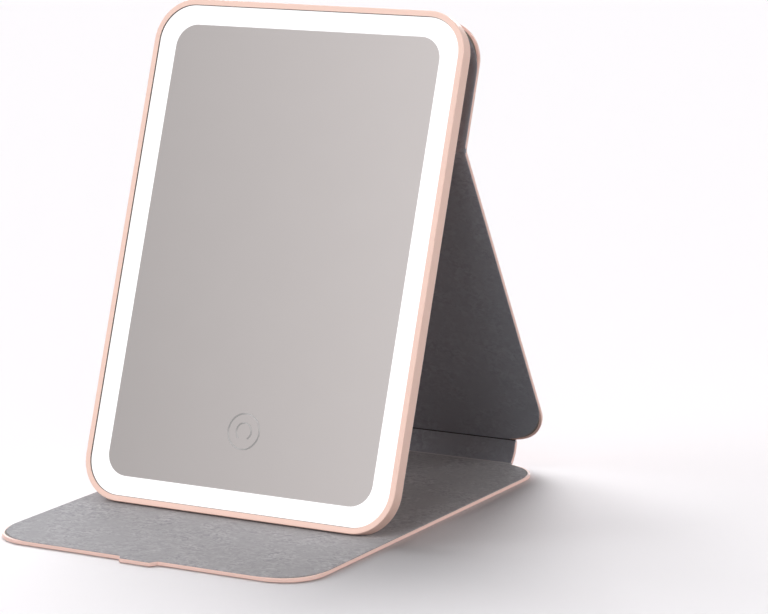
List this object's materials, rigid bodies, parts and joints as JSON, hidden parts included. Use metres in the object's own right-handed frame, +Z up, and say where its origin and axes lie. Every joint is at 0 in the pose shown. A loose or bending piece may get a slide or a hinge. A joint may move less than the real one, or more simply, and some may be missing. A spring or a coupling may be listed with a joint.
{
  "type": "lighted folding makeup mirror",
  "caption": "Upright vanity mirror with a lit border and a touch control, carried by a leather folio cover that folds into a stand.",
  "frame": {"origin": "centre of the base panel's underside, which rests on the table", "axes": "+Z up, +Y from the front edge of the base towards its spine, +X to the right as seen by the user"},
  "size_m": [0.17, 0.247, 0.2358],
  "materials": {
    "pink_leather": "smooth",
    "grey_lining": "suede",
    "greyboard": "raw",
    "magnet": "plated",
    "pink_plastic": "satin",
    "mirror": "polished",
    "etched_mark": "frosted",
    "lit_diffuser": "frosted",
    "white_plastic": "satin",
    "light_chip": "clear",
    "circuit_board": "lacquered",
    "black_plastic": "moulded",
    "steel": "plated",
    "copper": "plain",
    "battery_pouch": "foil",
    "foam_tape": "foam",
    "wire_cover": "satin"
  },
  "bodies": {
    "base": {"base_crease": "pink_leather", "base_lining": "grey_lining", "base_magnets": "magnet", "base_skin": "pink_leather", "base_stiffener": "greyboard"},
    "spine": {"spine_skin": "pink_leather", "spine_stiffener": "greyboard", "spine_lining": "grey_lining", "lower_crease": "pink_leather"},
    "lower_panel": {"lower_skin": "pink_leather", "lower_stiffener": "greyboard", "lower_lining": "grey_lining", "fold_crease": "pink_leather"},
    "mirror": {"battery": "battery_pouch", "battery_leads": "wire_cover", "battery_tape": "foam_tape", "board_chips": "black_plastic", "bonding_pad": "foam_tape", "charging_port": "steel", "control_board": "circuit_board", "front_bezel": "pink_plastic", "keeper_plates": "magnet", "led_board": "white_plastic", "leds": "light_chip", "light_diffuser": "lit_diffuser", "light_leads": "wire_cover", "mirror_glass": "mirror", "rear_shell": "pink_plastic", "reflector_tray": "white_plastic", "shell_screws": "steel", "touch_ring": "etched_mark", "touch_sensor": "copper", "upper_lining": "grey_lining", "upper_skin": "pink_leather", "upper_stiffener": "greyboard"}
  },
  "joints": [
    {"name": "cover_hinge", "type": "hinge", "parent": "base", "child": "spine", "pos_m": [0, 0.1187, 0.00105], "axis": [-1, 0, 0], "range_deg": [0, 60]},
    {"name": "lower_hinge", "type": "hinge", "parent": "spine", "child": "lower_panel", "pos_m": [0, 0.1245, 0.0125], "axis": [-1, 0, 0], "range_deg": [-13.5, 21.5]},
    {"name": "stand_fold", "type": "hinge", "parent": "lower_panel", "child": "mirror", "pos_m": [0, 0.03427, 0.17161], "axis": [1, 0, 0], "range_deg": [-30, 48]}
  ],
  "couplings": [
    {"joint": "lower_hinge", "follows": "stand_fold", "ratio": 0.445}
  ]
}
